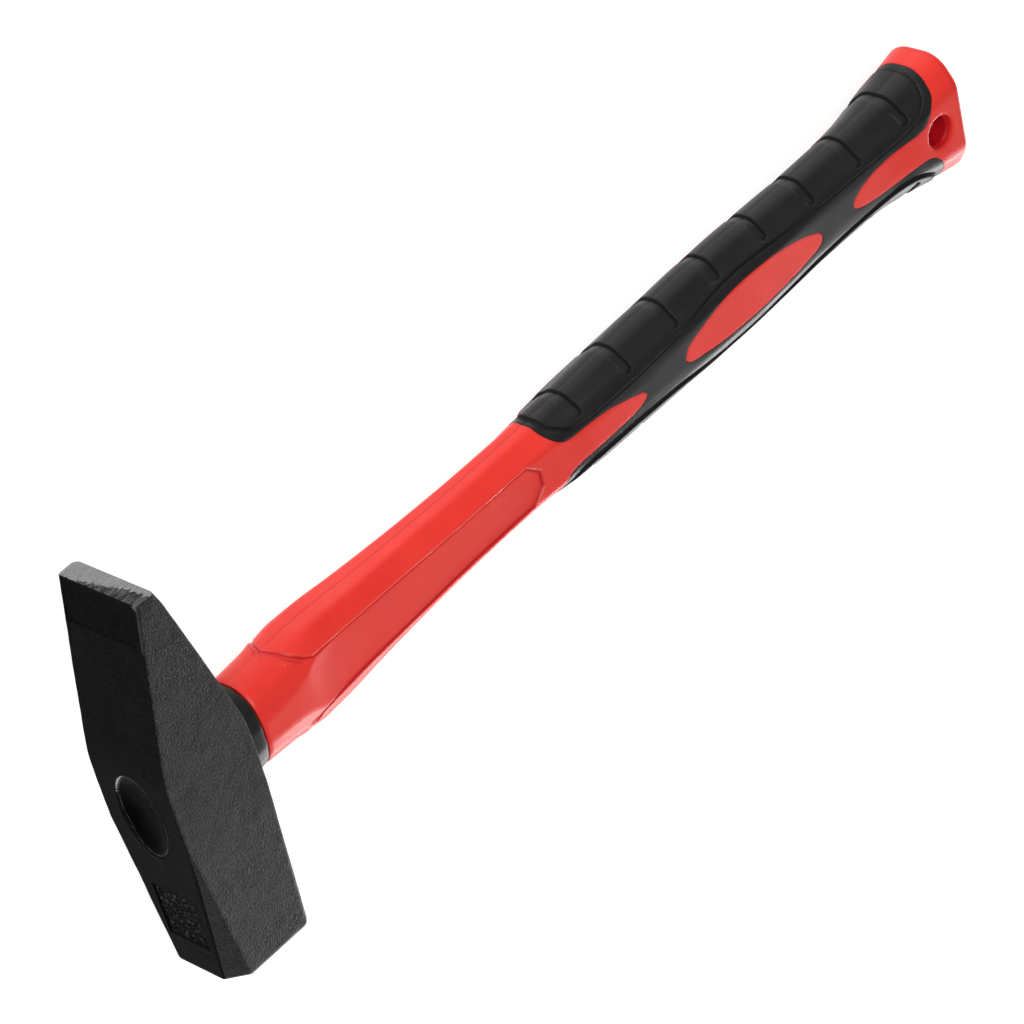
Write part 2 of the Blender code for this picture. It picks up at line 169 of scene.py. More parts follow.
def ridge(x, width):
    """A bell of height 1 at x = 0."""
    return np.exp(-((x / width) ** 2))


def noise_at(points, size, shift=0.0):
    """Smooth noise from -1 to 1 at each point, with blotches about size across."""
    flat = np.asarray(points, float).reshape(-1, 3) / size + shift
    values = [noise.noise(Vector(point)) for point in flat]
    return np.array(values).reshape(np.shape(points)[:-1])


def ring_at(depth, y, z):
    """Points of a ring that lies at one depth."""
    return np.column_stack([np.full(len(y), depth), y, z])


def catmull_rom(points, steps):
    """A smooth open curve through the points."""
    p = np.array([points[0], *points, points[-1]], float)
    t = np.linspace(0, 1, steps, endpoint=False)[:, None]
    runs = [
        0.5 * (2 * b + (c - a) * t + (2 * a - 5 * b + 4 * c - d) * t**2 + (3 * b - a - 3 * c + d) * t**3)
        for a, b, c, d in zip(p, p[1:], p[2:], p[3:])
    ]
    return np.vstack([*runs, p[-1:]])


def inside_distance(x, y, outline):
    """Distance to a closed outline, positive inside it."""
    nearest = np.full(np.shape(x), 1e9)
    inside = np.zeros(np.shape(x), bool)
    for (x0, y0), (x1, y1) in zip(outline, np.roll(outline, -1, axis=0)):
        dx, dy = x1 - x0, y1 - y0
        along = np.clip(((x - x0) * dx + (y - y0) * dy) / max(dx * dx + dy * dy, 1e-12), 0, 1)
        nearest = np.minimum(nearest, (x - x0 - along * dx) ** 2 + (y - y0 - along * dy) ** 2)
        inside ^= ((y0 > y) != (y1 > y)) & (x < x0 + (y - y0) * dx / (dy or 1e-12))
    return np.where(inside, 1, -1) * np.sqrt(nearest)


# -------------------- meshes from clipped grids


class Shell:
    """A mesh put together from grids of points, parts of grids, and bands between their edges."""

    def __init__(self):
        self.points = []
        self.faces = []
        self.tags = []
        self.values = {}

    def add(self, points, **values):
        """Adds points and returns their indices."""
        points = np.asarray(points, float).reshape(-1, 3)
        start = len(self.points)
        self.points.extend(points.tolist())
        for name, value in values.items():
            held = self.values.setdefault(name, [])
            held.extend([0.0] * (start - len(held)))
            held.extend(np.broadcast_to(value, len(points)).tolist())
        return np.arange(start, start + len(points))

    def face(self, corners, tag=0):
        """Adds a face, without corners that repeat."""
        corners = [int(c) for c in corners]
        corners = [c for c, after in zip(corners, corners[1:] + corners[:1]) if c != after]
        if len(corners) > 2:
            self.faces.append(corners)
            self.tags.append(tag)

    def rings(self, rings, tag=0):
        """Quads between rings of indices. A ring of one index is a pole."""
        for first, second in zip(rings, rings[1:]):
            count = max(len(first), len(second))
            for j in range(count):
                k = (j + 1) % count
                a, b = first[j % len(first)], first[k % len(first)]
                c, d = second[k % len(second)], second[j % len(second)]
                self.face((a, b, c, d), tag)

    def skin(self, points, keep, flip=False, tags=None, **values):
        """Adds the part of a wrapped grid where keep is positive, cut cleanly along keep = 0.
        Returns the index of each point kept or cut, and the cut's edges in the faces' order."""
        rows, columns = keep.shape
        flat, level = points.reshape(-1, 3), keep.ravel()
        fields = {name: value.ravel() for name, value in values.items()}
        kept = np.flatnonzero(level > 0)
        placed = self.add(flat[kept], **{name: value[kept] for name, value in fields.items()})
        index = dict(zip(kept.tolist(), placed.tolist()))
        grid = np.arange(rows * columns).reshape(rows, columns)
        near, far = grid[:-1], grid[1:]
        cells = np.stack([near, np.roll(near, -1, 1), np.roll(far, -1, 1), far], axis=-1)
        cells = cells.reshape(-1, 4)
        used = (level[cells] > 0).any(axis=1)
        inside = (level > 0).tolist()
        cell_tags = np.zeros(len(cells), int) if tags is None else tags[cells[:, 0]]
        edges = []
        for corners, tag in zip(cells[used].tolist(), cell_tags[used].tolist()):
            walk = []
            for a, b in zip(corners, corners[1:] + corners[:1]):
                if inside[a]:
                    walk.append(a)
                if inside[a] != inside[b]:
                    walk.append(self._cut(a, b, flat, level, fields, index))
            found = [index[key] for key in walk]
            self.faces.append(found[::-1] if flip else found)
            self.tags.append(tag)
            for a, b in zip(walk, walk[1:] + walk[:1]):
                if isinstance(a, tuple) and isinstance(b, tuple):
                    edges.append((a, b))
        return index, edges

    def _cut(self, a, b, flat, level, fields, index):
        """The key of the point where the edge from a to b is cut, added if it's new."""
        key = (min(a, b), max(a, b))
        if key not in index:
            low, high = key
            share = np.clip(level[low] / (level[low] - level[high]), 0.04, 0.96)
            mixed = {name: f[low] + (f[high] - f[low]) * share for name, f in fields.items()}
            index[key] = int(self.add(flat[low] + (flat[high] - flat[low]) * share, **mixed)[0])
        return key

    def wall(self, edges, *levels):
        """A band that hangs from cut edges, through levels that each map a key to an index."""
        for a, b in edges:
            for upper, lower in zip(levels, levels[1:]):
                self.face((upper[b], upper[a], lower[a], lower[b]))

    def build(self, name, materials):
        """Makes the object: tags pick its materials, and values become its attributes."""
        mesh = bpy.data.meshes.new(name)
        mesh.from_pydata(in_frame(self.points).tolist(), [], self.faces)
        for material in materials:
            mesh.materials.append(material)
        mesh.polygons.foreach_set("material_index", self.tags)
        for value_name, values in self.values.items():
            values.extend([0.0] * (len(self.points) - len(values)))
            layer = mesh.attributes.new(value_name, "FLOAT", "POINT")
            layer.data.foreach_set("value", values)
        mesh.validate()
        shape = bmesh.new()
        shape.from_mesh(mesh)
        bmesh.ops.recalc_face_normals(shape, faces=shape.faces)
        shape.to_mesh(mesh)
        shape.free()
        mesh.shade_smooth()
        mesh.set_sharp_from_angle(angle=np.radians(SHARP_ANGLE))
        made = bpy.data.objects.new(name, mesh)
        bpy.context.scene.collection.objects.link(made)
        return made


def end_rows(index, shape):
    """The indices of the first and last rows of a grid that was added with skin()."""
    rows, columns = shape[:2]
    return [[index[row * columns + j] for j in range(columns)] for row in (0, rows - 1)]


def outward_normals(points, centre):
    """Normals of a wrapped grid, facing away from a line of centres."""
    along = np.gradient(points, axis=0)
    across = np.roll(points, -1, axis=1) - np.roll(points, 1, axis=1)
    normals = np.cross(along, across)
    normals /= np.maximum(np.linalg.norm(normals, axis=2, keepdims=True), 1e-9)
    facing = np.einsum("ijk,ijk->ij", normals, points - centre)
    return normals * np.where(facing < 0, -1, 1)[..., None]


# -------------------- materials


class Look:
    """A node material, built with short calls."""

    def __init__(self, name, **sockets):
        self.material = bpy.data.materials.new(name)
        self.material.use_nodes = True
        self.tree = self.material.node_tree
        self.shader = self.tree.nodes["Principled BSDF"]
        for socket, value in sockets.items():
            self.shader.inputs[socket.replace("_", " ")].default_value = value
        self.place = self.tree.nodes.new("ShaderNodeTexCoord").outputs["Object"]

    def node(self, kind, output, settings=None, **inputs):
        """Adds a node and returns an output. Its inputs go by name, or by number as i0, i1."""
        made = self.tree.nodes.new("ShaderNode" + kind)
        for name, value in (settings or {}).items():
            setattr(made, name, value)
        for name, value in inputs.items():
            key = int(name[1:]) if name[0] == "i" and name[1:].isdigit() else name.replace("_", " ")
            socket = made.inputs[key]
            if isinstance(value, bpy.types.NodeSocket):
                self.tree.links.new(value, socket)
            else:
                socket.default_value = value
        return made.outputs[output]

    def noise(self, size_mm, detail=3.0, stretch=(1, 1, 1)):
        """Noise from 0 to 1 with features of about size_mm, drawn out along an axis by stretch."""
        place = self.place
        if stretch != (1, 1, 1):
            place = self.node("Mapping", 0, Vector=place, Scale=[1 / s for s in stretch])
        return self.node("TexNoise", "Fac", Vector=place, Scale=1000 / size_mm, Detail=detail)

    def cells(self, size_mm):
        """Distance to the nearest of points that lie about size_mm apart."""
        return self.node("TexVoronoi", "Distance", Vector=self.place, Scale=1000 / size_mm)

    def value(self, name):
        """A value that the mesh holds at each point."""
        return self.node("Attribute", "Fac", {"attribute_name": name})

    def spread(self, source, low=0.3, high=0.7, to_low=0.0, to_high=1.0):
        """Maps low..high of a value to another range, and holds it there."""
        return self.node(
            "MapRange", 0, Value=source, From_Min=low, From_Max=high, To_Min=to_low, To_Max=to_high
        )

    def math(self, operation, a, b=0.0):
        return self.node("Math", 0, {"operation": operation}, i0=a, i1=b)

    def mix(self, share, a, b):
        """Mixes two colours."""
        a, b = ((*colour, 1) if isinstance(colour, tuple) else colour for colour in (a, b))
        return self.node("Mix", 2, {"data_type": "RGBA"}, i0=share, i6=a, i7=b)

    def wire(self, socket, source):
        self.tree.links.new(source, self.shader.inputs[socket])

    def bump(self, *layers):
        """Stacks bumps, each a (height, depth in mm, strength)."""
        normal = None
        for height, depth_mm, strength in layers:
            extra = {"Normal": normal} if normal else {}
            depth = depth_mm * MM
            normal = self.node("Bump", 0, Height=height, Distance=depth, Strength=strength, **extra)
        self.wire("Normal", normal)


def grey(level):
    return (level, level, level)


def red_plastic():
    look = Look("red_polypropylene", Specular_IOR_Level=0.25)
    blotch = look.noise(14, 3)
    grain = look.noise(0.35, 2)
    flow = look.noise(3.0, 2, stretch=(5, 1, 1))
    tint = look.mix(look.spread(blotch), (0.92, 0.047, 0.033), (0.86, 0.038, 0.027))
    tint = look.mix(look.spread(grain, 0.3, 0.7, 0, 0.25), tint, (0.72, 0.030, 0.025))
    speck = look.spread(look.cells(4.6), 0.028, 0.04, 0.35, 0)
    tint = look.mix(speck, tint, (0.95, 0.45, 0.40))
    # Painted highlight along the channel's edges, then painted shade in grooves, seams, the hole and
    # where the plastics meet.
    tint = look.mix(look.value("crest"), tint, (0.96, 0.36, 0.30))
    look.wire("Base Color", look.mix(look.value("gutter"), tint, (0.50, 0.004, 0.012)))
    look.wire("Roughness", look.spread(look.math("ADD", grain, flow), 0.7, 1.3, 0.32, 0.42))
    look.bump((grain, 0.03, 0.4), (flow, 0.04, 0.1))
    return look.material


def black_grip():
    look = Look("black_tpr", Specular_IOR_Level=0.34)
    blotch = look.noise(9, 3)
    grain = look.noise(0.45, 2)
    pores = look.cells(0.8)
    tint = look.mix(look.spread(blotch), (0.0065, 0.0065, 0.007), (0.0095, 0.0095, 0.010))
    tint = look.mix(look.spread(grain, 0.35, 0.65, 0, 0.5), tint, (0.014, 0.014, 0.0145))
    # Painted shade in the grooves and along the notches' and panel's edges.
    look.wire("Base Color", look.mix(look.value("gutter"), tint, grey(0.0008)))
    rough = look.spread(look.math("ADD", grain, blotch), 0.7, 1.3, 0.36, 0.46)
    look.wire("Roughness", look.spread(look.value("gutter"), 0, 1, rough, 0.95))
    look.bump((grain, 0.05, 0.5), (pores, 0.03, 0.3))
    return look.material


def black_collar():
    look = Look("black_rubber", Specular_IOR_Level=0.25)
    blotch = look.noise(5, 3)
    grain = look.noise(0.25, 2)
    tint = look.mix(look.spread(blotch), (0.009, 0.009, 0.0095), (0.014, 0.014, 0.0145))
    look.wire("Base Color", tint)
    look.wire("Roughness", look.spread(grain, 0.3, 0.7, 0.34, 0.44))
    look.bump((grain, 0.02, 0.3))
    return look.material


def black_resin():
    look = Look("black_resin", Specular_IOR_Level=0.02)
    lump = look.noise(2.2, 3)
    tint = look.mix(look.spread(lump, 0.35, 0.65), grey(0.0006), grey(0.0014))
    # Painted highlight: a lighter line along the plug's rim, broken up by noise.
    highlight_breakup = look.spread(look.noise(2.6, 2), 0.38, 0.62, 0.25, 1.0)
    thin = look.math("MULTIPLY", look.value("crest"), highlight_breakup)
    look.wire("Base Color", look.mix(thin, tint, grey(0.085)))
    look.wire("Roughness", look.spread(lump, 0.3, 0.7, 0.35, 0.5))
    look.bump((lump, 0.2, 0.3))
    return look.material


def fibreglass():
    look = Look("fibreglass", Specular_IOR_Level=0.5)
    strand = look.noise(0.3, 4, stretch=(60, 1, 1))
    look.wire("Base Color", look.mix(strand, (0.55, 0.50, 0.33), (0.80, 0.77, 0.62)))
    look.wire("Roughness", look.spread(strand, 0.3, 0.7, 0.35, 0.6))
    look.bump((strand, 0.08, 0.6))
    return look.material


def black_steel(name, shade, roughness, grain, specular):
    """Black finish over forged steel, with metal showing through at worn places and as a painted
    highlight on the eye's lip, painted glints on the stipple and painted shade in grooves.
    """
    look = Look(name, Specular_IOR_Level=specular)
    scale = look.noise(6.5, 4)
    pebbles = look.noise(0.52, 2)
    grit = look.noise(0.28, 2)
    pits = look.cells(0.9)
    mottle = look.math("ADD", look.math("MULTIPLY", scale, 0.3), look.math("MULTIPLY", pebbles, 0.7))
    # Metal showing through at worn places, and the painted highlight on the eye's lip.
    exposed_and_highlight_mix = look.spread(look.math("ADD", look.value("rubbed"), look.noise(0.5, 3)), 0.85, 1.15)
    tint = look.mix(look.spread(mottle, 0.4, 0.6), grey(0.35 * shade), grey(1.75 * shade))
    tint = look.mix(look.spread(grit, 0.55, 0.75, 0, 0.5), tint, grey(2.6 * shade))
    # Painted glints on the stipple's high points, then painted shade in grooves and hollows.
    tint = look.mix(look.value("peaks"), tint, (0.30, 0.30, 0.295))
    tint = look.mix(look.value("gutter"), tint, grey(0.0006))
    look.wire("Base Color", look.mix(exposed_and_highlight_mix, tint, (0.42, 0.42, 0.41)))
    wide = look.spread(look.math("ADD", pebbles, scale), 0.7, 1.3, roughness[0], roughness[1])
    look.wire("Roughness", wide)
    look.bump((scale, 0.3, 0.3), (pebbles, grain, 0.9), (grit, grain / 3, 0.7), (pits, grain / 3, 0.5))
    return look.material


def bare_steel():
    """Ground steel, with a darker scored band where that value is above zero."""
    look = Look("ground_steel", Specular_IOR_Level=0.4)
    scored = look.noise(0.55, 3, stretch=(7, 1, 1))
    speck = look.noise(0.28, 3)
    ragged = look.spread(look.noise(1.0, 4), 0.2, 0.8, -0.4, 0.4)
    band = look.spread(look.math("ADD", look.value("scored"), ragged), -0.04, 0.06)
    bright = look.mix(look.spread(scored), (0.20, 0.20, 0.195), (0.32, 0.32, 0.315))
    bright = look.mix(look.spread(speck, 0.45, 0.7, 0, 0.6), bright, grey(0.12))
    rough = look.mix(look.spread(scored, 0.42, 0.6), grey(0.004), grey(0.085))
    rough = look.mix(look.spread(speck, 0.58, 0.8, 0, 0.7), rough, grey(0.20))
    look.wire("Base Color", look.mix(band, bright, rough))
    look.wire("Metallic", look.spread(band, 0, 1, 0.5, 0.0))
    look.wire("Roughness", look.spread(band, 0, 1, look.spread(scored, 0.3, 0.7, 0.38, 0.55), 0.8))
    groove = look.math("MULTIPLY", scored, look.spread(band, 0, 1, 0.15, 1.0))
    look.bump((groove, 0.4, 0.9), (speck, 0.08, 0.6), (band, 0.25, 0.6))
    return look.material


def pale_floor():
    look = Look("studio_floor", Roughness=0.9, Specular_IOR_Level=0.0, Emission_Strength=0.85)
    tone = look.mix(look.noise(400, 2), grey(0.39), grey(0.41))
    look.wire("Base Color", tone)
    look.shader.inputs["Emission Color"].default_value = (1, 1, 1, 1)
    return look.material


# -------------------- handle

SIDE = 52  # columns from the middle of a broad side to the middle of a narrow side


def column_shares():
    """Where the columns lie on a quarter of the section: closest where the outlines run."""
    at = np.linspace(0, 1, 400)
    density = 1 + 2.0 * ridge(at - 0.41, 0.13)
    total = np.concatenate([[0], np.cumsum((density[1:] + density[:-1]) / 2)])
    return np.interp(np.linspace(0, total[-1], SIDE + 1), total, at)


SHARES = column_shares()


def station(depth):
    """The section's measures at a depth, eased between the stations."""
    depth = np.clip(depth, STATIONS[0, 0], STATIONS[-1, 0])
    index = max(int(np.searchsorted(STATIONS[:, 0], depth)) - 1, 0)
    last = len(STATIONS) - 1
    before, start, end, after = (STATIONS[min(max(index + k, 0), last)] for k in (-1, 0, 1, 2))
    span = end[0] - start[0]
    t = (depth - start[0]) / span
    slope_in = (end - before)[1:] / max(end[0] - before[0], span) * span
    slope_out = (after - start)[1:] / max(after[0] - start[0], span) * span
    return (
        start[1:] * (2 * t**3 - 3 * t**2 + 1) + slope_in * (t**3 - 2 * t**2 + t)
        + end[1:] * (3 * t**2 - 2 * t**3) + slope_out * (t**3 - t**2)
    )


def quarter(depth, inset=0.0):
    """A quarter of the section from the broad side's middle, and how far along it each point is."""
    half_length, half_thick, narrow, broad, fillet = station(depth)
    shrink = max(0.6 - (fillet - inset), 0)
    fillet = max(fillet - inset, 0.6)
    on_narrow = (half_length - inset - fillet, max(narrow - shrink / 2, 0.3))
    on_broad = (max(broad - shrink / 2, 0.3), half_thick - inset - fillet)
    lean = atan2(on_narrow[0] - on_broad[0], on_broad[1] - on_narrow[1])
    angles = np.linspace(pi / 2, lean, 14), np.linspace(lean, 0, 14)
    arcs = [
        np.column_stack([c[0] + fillet * np.cos(a), c[1] + fillet * np.sin(a)])
        for c, a in zip((on_broad, on_narrow), angles)
    ]
    line = np.vstack([[(0, half_thick - inset)], *arcs, [(half_length - inset, 0)]])
    far = np.concatenate([[0], np.cumsum(np.linalg.norm(np.diff(line, axis=0), axis=1))])
    return line, far


def across(depth, y):
    """Distance round the section from the broad side's middle to where the surface is at y."""
    line, far = quarter(depth)
    beyond = max(abs(y) - line[-1, 0], 0)
    return np.sign(y) * (np.interp(abs(y), line[:, 0], far) if beyond == 0 else far[-1] + beyond)


def chart(outline):
    """An outline of (depth, y) as (depth, distance round the section)."""
    return np.array([(depth, across(depth, y)) for depth, y in outline])


def handle_rows():
    """(depth, inset) of each row: close together where something crosses the handle."""
    steps = [(35, 38, 0.6), (46, 57.5, 0.3), (136, 144, 0.4), (144, 158, 0.32), (158, 165, 0.6)]
    steps += [(197, 205, 0.6), (255, 262, 0.6), (271, 280, 0.6), (299, 321, 0.42)]
    for i in range(len(NOTCH_ENDS)):
        wall = FIRST_NOTCH + NOTCH_PITCH * i
        steps += [(wall - 4.4, wall - 0.8, 0.42), (wall - 0.8, wall + 0.5, 0.2)]
    depths = [JACKET_TOP]
    straight_end = BUTT_END - BUTT_FILLET
    while depths[-1] < straight_end - 0.3:
        here = depths[-1] + 0.01
        depths.append(here + min([step for a, b, step in steps if a <= here <= b], default=1.7))
    depths[-1] = straight_end
    rows = [(depth, 0.0) for depth in depths]
    for angle in np.linspace(0, pi / 2, 8)[1:]:
        rows.append((straight_end + BUTT_FILLET * np.sin(angle), BUTT_FILLET * (1 - np.cos(angle))))
    return rows


def section(depth, inset=0.0):
    """A whole section's points, their distances round it, and the length of a quarter."""
    index = np.arange(4 * SIDE)
    folded = np.abs((index + SIDE) % (2 * SIDE) - SIDE)
    side = np.where(index <= 2 * SIDE, 1, -1)
    upper = np.where((index < SIDE) | (index > 3 * SIDE), 1, -1)
    line, far = quarter(depth, inset)
    places = SHARES * far[-1]
    y, z = np.interp(places, far, line[:, 0]), np.interp(places, far, line[:, 1])
    return ring_at(depth, side * y[folded], upper * z[folded]), side * places[folded], far[-1]


def handle_grid():
    """Points of the handle's plain form, with the distance round it and a quarter's length."""
    rings, distances, lengths = zip(*(section(depth, inset) for depth, inset in handle_rows()))
    return np.array(rings), np.array(distances), np.array(lengths)[:, None]


def from_hole(points):
    """Distance from the hanging hole's axis."""
    return np.hypot(points[..., 0] - HOLE[0], points[..., 1] - HOLE[1])


def notch_cut(depth, side_on, length):
    """How deep the notches are cut, and how much painted shade darkens the lines along their edges.
    side_on is the distance from the narrow side's middle."""
    radius = NOTCH_WIDTH / 2
    total = np.zeros_like(depth)
    lines = np.zeros_like(depth)
    for i, end_y in enumerate(NOTCH_ENDS):
        wall = FIRST_NOTCH + NOTCH_PITCH * i
        back = wall - depth
        end = length - across(wall - radius, end_y)
        past_turn = side_on - (end - radius)
        in_turn = radius - np.hypot(np.maximum(past_turn, 0), back - radius)
        inside = np.where(past_turn > 0, in_turn, np.minimum(back, NOTCH_WIDTH - back))
        ramp = smooth(-(past_turn + 1.0) / 5.5)  # 0 by the turn, 1 by the middle of the side
        to_wall = np.where(back < radius, inside, 9.0)
        closed = smooth(inside / 0.34)
        open_end = smooth(back / 0.34) * (1 - smooth((back - 0.5) / 4.2))
        cut = closed * (1 - ramp) + open_end * ramp
        groove = ridge(inside - 0.42, 0.26) * (1 - 0.95 * ramp) + ridge(to_wall - 0.42, 0.26) * ramp
        total = np.maximum(total, NOTCH_DEPTH * cut + 0.22 * groove)
        # Lines of painted shade along each notch's wall and round its closed end.
        wall_line = ridge(back - 0.28, 0.28) * (back > -0.4) * (past_turn < 0)
        turn_line = ridge(inside - 0.28, 0.25) * (1 - ramp) * np.where(back > radius, 0.75, 1.0)
        lines = np.maximum(lines, np.maximum(wall_line, turn_line))
    return total, lines


def handle_relief(points, distance, length, panel, channel, sleeve):
    """Height of the handle's details over its plain form, and, from 0 to 1, how much painted shade
    darkens each point and how much painted highlight lightens it."""
    depth, y = points[..., 0], np.abs(points[..., 1])
    side_on = length - np.abs(distance)
    # Raised shoulders of the neck, with a narrow gutter at their foot.
    start = np.interp(y, SHOULDER_Y, SHOULDER_DEPTH)
    fade = smooth((depth - start) / 4)
    height = -STEP_HEIGHT * smooth((depth - start) / 11) * smooth((channel + 0.05) / 0.3)
    height -= 0.22 * fade * ridge(channel - 0.42, 0.22)
    front = smooth((y - 7.8) / 1.4) * (depth < SHOULDER_FRONT)
    height += 0.34 * front * fade * smooth((channel - 0.95) / 0.35)
    # Ribbed panel, proud of its border, with a thin gutter at its foot.
    low = PANEL_FOOT * (1 - smooth(-panel / 4))
    high = PANEL_RISE * (1 - smooth(panel / 6))
    height += low + (high - low) * smooth((panel + 0.45) / 0.9)
    height -= 0.26 * ridge(panel + 0.42, 0.27)
    swell = np.sin((depth - FIRST_NOTCH) / NOTCH_PITCH % 1 * pi)
    height += PANEL_SWELL * swell * smooth((panel - 1.5) / 5)
    notches, notch_shade = notch_cut(depth, side_on, length)
    in_panel = smooth((panel - 0.2) / 0.5)
    height -= notches * in_panel
    # Mould seam on each narrow side, the edges of the two plastics, and the rim of the hole.
    on_seam = ridge(side_on, SEAM_WIDTH)
    height -= SEAM_DEPTH * on_seam * (depth < BUTT_END - BUTT_FILLET)
    height -= 0.06 * ridge(sleeve, 0.2)
    height -= 0.28 * smooth((HOLE_MOUTH + 0.55 - from_hole(points)) / 0.55) ** 2
    height -= 0.30 * smooth((JACKET_TOP + 0.7 - depth) / 0.7) ** 2
    height += 0.035 * noise_at(points, 9.0)

    # Painted shade: darker colour in the shoulders' and panel's grooves, along the notches, on the
    # seams, near the butt's end and where the two plastics meet.
    on_grip = depth > NECK_END + 5
    seam = on_seam * np.where(on_grip, 0.5 * (depth < HOLE[0]), depth > NECK_START)
    on_neck = fade * (depth < NECK_END)
    gutter = on_neck * ridge(channel - 0.36, 0.3)
    gutter = np.maximum(gutter, on_neck * front * ridge(channel - 1.35, 0.24))
    for line in (
        ridge(panel - 0.15, 0.52) * (sleeve > 0), notch_shade * in_panel, 0.4 * seam,
        0.3 * ridge(depth - (BUTT_END - 1.7), 0.3), 0.35 * ridge(sleeve, 0.3),
    ):
        gutter = np.maximum(gutter, line)
    # Painted highlight: lighter colour along the channel's edges on the neck.
    crest = np.where(depth < SHOULDER_FRONT - 2, 0.12, 0.4) * on_neck * ridge(channel + 0.16, 0.16)
    return height, np.clip(gutter, 0, 1), np.clip(crest, 0, 1)


def cap_butt(shell, ring):
    """Closes the butt's end with smaller rings and a pole, slightly domed."""
    centre = np.array((BUTT_END, 0, 0))
    points = np.array([shell.points[i] for i in ring])
    rings = [ring]
    for share in np.linspace(0.9, 0.1, 9):
        moved = centre + (points - centre) * share
        moved[:, 0] += BUTT_BULGE * (1 - share**2)
        rings.append(shell.add(moved))
    rings.append(shell.add(centre + (BUTT_BULGE, 0, 0)))
    shell.rings(rings)


def circle(points, depth, radius):
    """A ring with one point toward each given point, round the handle's axis."""
    angle = np.arctan2(points[:, 2], points[:, 1])
    return ring_at(depth, radius * np.cos(angle), radius * np.sin(angle))


def make_handle():
    """The red jacket and the black sleeve, cut from one surface along their shared edge."""
    plain, distance, length = handle_grid()
    depth = plain[..., 0]
    sleeve_edge = np.vstack([catmull_rom(chart(edge), 6) for edge in (NECK_EDGE, BUTT_EDGE)])
    window_edge = catmull_rom(chart([*WINDOW_EDGE, WINDOW_EDGE[0]]), 5)[:-1]
    sleeve = inside_distance(depth, distance, sleeve_edge)
    sleeve = np.minimum(sleeve, -inside_distance(depth, distance, window_edge))
    panel = inside_distance(depth, np.abs(distance), catmull_rom(chart(PANEL_EDGE), 4))
    channel_end = CHANNEL_EDGE[-1][0]
    channel_edge = np.vstack([[(0, -OFF), (0, OFF)], chart(CHANNEL_EDGE), [(channel_end, -OFF)]])
    channel = inside_distance(depth, np.abs(distance), channel_edge)
    normals = outward_normals(plain, plain * (1, 0, 0))
    height, gutter, crest = handle_relief(plain, distance, length, panel, channel, sleeve)
    outer = plain + normals * height[..., None]

    jacket = Shell()
    keep = np.minimum(-sleeve - BORDER_GAP, from_hole(plain) - HOLE_MOUTH)
    index, edges = jacket.skin(outer, keep, gutter=gutter, crest=crest)
    bed = plain - normals * (SLEEVE_WALL + 0.2)
    under, _ = jacket.skin(bed, sleeve + BORDER_GAP)
    jacket.wall([edge for edge in edges if edge[0] in under], index, under)
    hole_edges = [edge for edge in edges if edge[0] not in under]
    bore_hanging_hole(jacket, hole_edges, index)
    first, last = end_rows(index, plain.shape)
    mouth = jacket.add(circle(outer[0], JACKET_TOP, BORE_RADIUS))
    floor = jacket.add(circle(outer[0], BORE_END, BORE_RADIUS))
    jacket.rings([jacket.add([(BORE_END, 0, 0)]), floor, mouth, first])
    cap_butt(jacket, last)
    red = jacket.build("red_handle_jacket", [red_plastic()])

    grip = Shell()
    index, edges = grip.skin(outer, sleeve - BORDER_GAP, gutter=gutter)
    inner, _ = grip.skin(plain - normals * SLEEVE_WALL, sleeve - BORDER_GAP, flip=True)
    grip.wall(edges, index, inner)
    return red, grip.build("black_grip_sleeve", [black_grip()])


def bore_hanging_hole(shell, edges, index):
    """The hole's two mouths and the narrower bore between them."""
    columns = 4 * SIDE

    def mirrored(key):
        turned = [i - i % columns + (2 * SIDE - i % columns) % columns for i in key]
        return min(turned), max(turned)

    upper = [edge for edge in edges if shell.points[index[edge[0]]][2] > 0]
    keys = sorted({key for edge in upper for key in edge})
    mouth = (
        (HOLE_MOUTH, 0.5), (HOLE_MOUTH - 0.03, HOLE_LEDGE - 0.15), (HOLE_MOUTH - 0.2, HOLE_LEDGE),
        (HOLE_BORE + 0.12, HOLE_LEDGE), (HOLE_BORE, HOLE_LEDGE + 0.15),
    )
    rim = np.array([shell.points[index[key]] for key in keys])
    angle = np.arctan2(rim[:, 1] - HOLE[1], rim[:, 0] - HOLE[0])
    levels = [index]
    for side, profile in ((1, mouth), (-1, mouth[::-1])):
        for radius, drop in profile:
            x, y = HOLE[0] + radius * np.cos(angle), HOLE[1] + radius * np.sin(angle)
            points = np.column_stack([x, y, side * (rim[:, 2] - drop)])
            # Painted shade: the bore is darker than the mouths.
            shade = 0.2 if drop < 1 else 0.92
            levels.append(dict(zip(keys, shell.add(points, gutter=shade).tolist())))
    levels.append({key: index[mirrored(key)] for key in keys})
    shell.wall(upper, *levels)


def make_collar():
    """A moulded ring between head and jacket, with rolled rims."""
    shell = Shell()
    base, *_ = section(JACKET_TOP)
    profile = (
        (COLLAR_TOP, 0.9), (28.82, 0.45), (29.0, 0.18), (29.4, 0.05), (30.2, 0.0), (31.5, 0.0),
        (32.6, 0.02), (33.6, 0.06), (34.2, 0.12), (34.6, 0.25), (34.8, 0.5), (COLLAR_END, 0.9),
    )
    rings = []
    for depth, inset in profile:
        shrink = 1 - inset / np.linalg.norm(base[:, 1:], axis=1)
        rings.append(shell.add(ring_at(depth, base[:, 1] * shrink, base[:, 2] * shrink)))
    for depth in (COLLAR_END, COLLAR_TOP):
        rings.append(shell.add(circle(base, depth, BORE_RADIUS)))
    shell.rings([*rings, rings[0]])
    return shell.build("collar_ring", [black_collar()])


# -------------------- head


